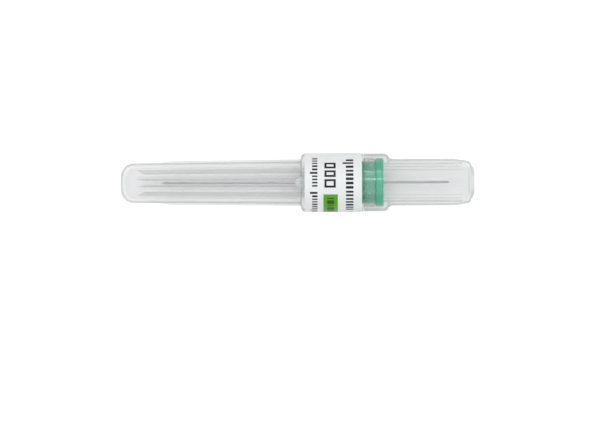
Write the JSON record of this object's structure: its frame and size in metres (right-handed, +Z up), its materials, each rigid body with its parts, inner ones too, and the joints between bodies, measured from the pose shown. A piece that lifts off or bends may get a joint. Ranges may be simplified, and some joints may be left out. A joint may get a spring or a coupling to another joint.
{
  "type": "capped dental needle",
  "caption": "Single-use dental needle closed in a two-part translucent shield, with a threaded green hub, a fine steel cannula, a glue bead and a paper label.",
  "frame": {"origin": "point on the floor under the middle of the closed needle, which lies on its label", "axes": "+X along the needle, from the closed tip of the sheath to the flat end of the cap; +Z up, with one outer rib of the sheath uppermost; the needle axis is 5.52 mm above the floor"},
  "size_m": [0.066, 0.011, 0.011],
  "materials": {
    "shield_plastic": "translucent natural polypropylene, satin",
    "label_paper": "coated paper with plain bars and a green field",
    "hub_plastic": "translucent green polypropylene",
    "adhesive": "cured milky adhesive",
    "steel": "drawn stainless steel tube with ground bevels"
  },
  "bodies": {
    "cap": {"cap": "shield_plastic"},
    "needle": {"hub": "hub_plastic", "adhesive_bead": "adhesive", "cannula": "steel"},
    "sheath": {"sheath": "shield_plastic", "label": "label_paper"}
  },
  "joints": [
    {"name": "cap_pull", "type": "slide", "parent": "cap", "child": "needle", "axis": [-1, 0, 0], "range_m": [0, 0.026]},
    {"name": "sheath_pull", "type": "slide", "parent": "needle", "child": "sheath", "axis": [-1, 0, 0], "range_m": [0, 0.05]}
  ]
}
